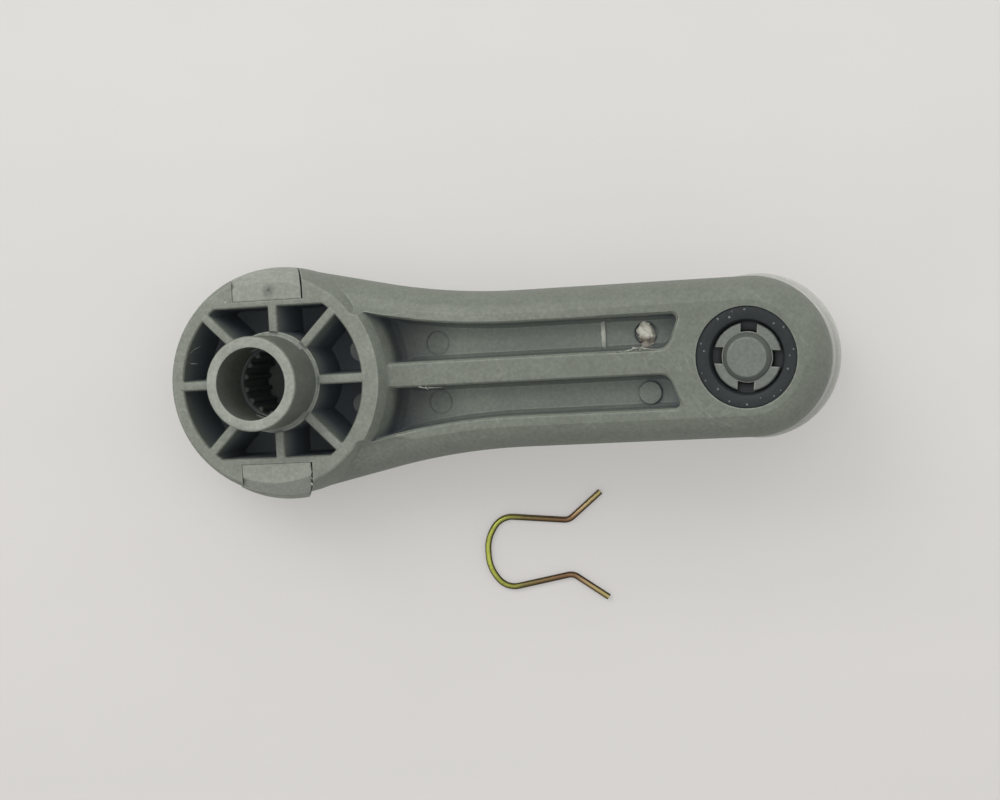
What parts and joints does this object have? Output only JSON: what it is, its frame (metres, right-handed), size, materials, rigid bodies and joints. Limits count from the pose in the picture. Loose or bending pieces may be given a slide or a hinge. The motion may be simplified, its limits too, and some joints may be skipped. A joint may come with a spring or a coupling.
{
  "type": "window crank handle",
  "caption": "Car window crank handle with a ribbed splined hub, a channelled arm, a free-turning knob and its loose spindle clip.",
  "frame": {"origin": "centre of the mouth of the hub's hollow boss, on the spindle's axis", "axes": "+Z out of the boss's mouth, towards the door; +X along the arm from the spindle to the knob; +Y across the arm"},
  "size_m": [0.1356, 0.0733, 0.0553],
  "materials": {
    "arm_plastic": "satin grey-green moulding",
    "insert_plastic": "satin dark grey",
    "cap_plastic": "satin grey-green, a little paler than the arm",
    "bush_plastic": "smooth dark grey",
    "knob_plastic": "satin grey-green",
    "trim_plastic": "smooth pale grey",
    "clip_steel": "yellow chromate"
  },
  "bodies": {
    "arm_body": {"crank_arm": "arm_plastic", "spline_insert": "insert_plastic", "hub_cap": "cap_plastic", "pivot_bush": "bush_plastic", "retaining_clip": "clip_steel"},
    "knob_body": {"knob": "knob_plastic", "knob_trim_ring": "trim_plastic", "knob_pin": "knob_plastic"}
  },
  "joints": [
    {"name": "knob_spin", "type": "hinge", "parent": "arm_body", "child": "knob_body", "pos_m": [0.096, 0, -0.025], "axis": [0, 0, 1], "continuous": true}
  ]
}
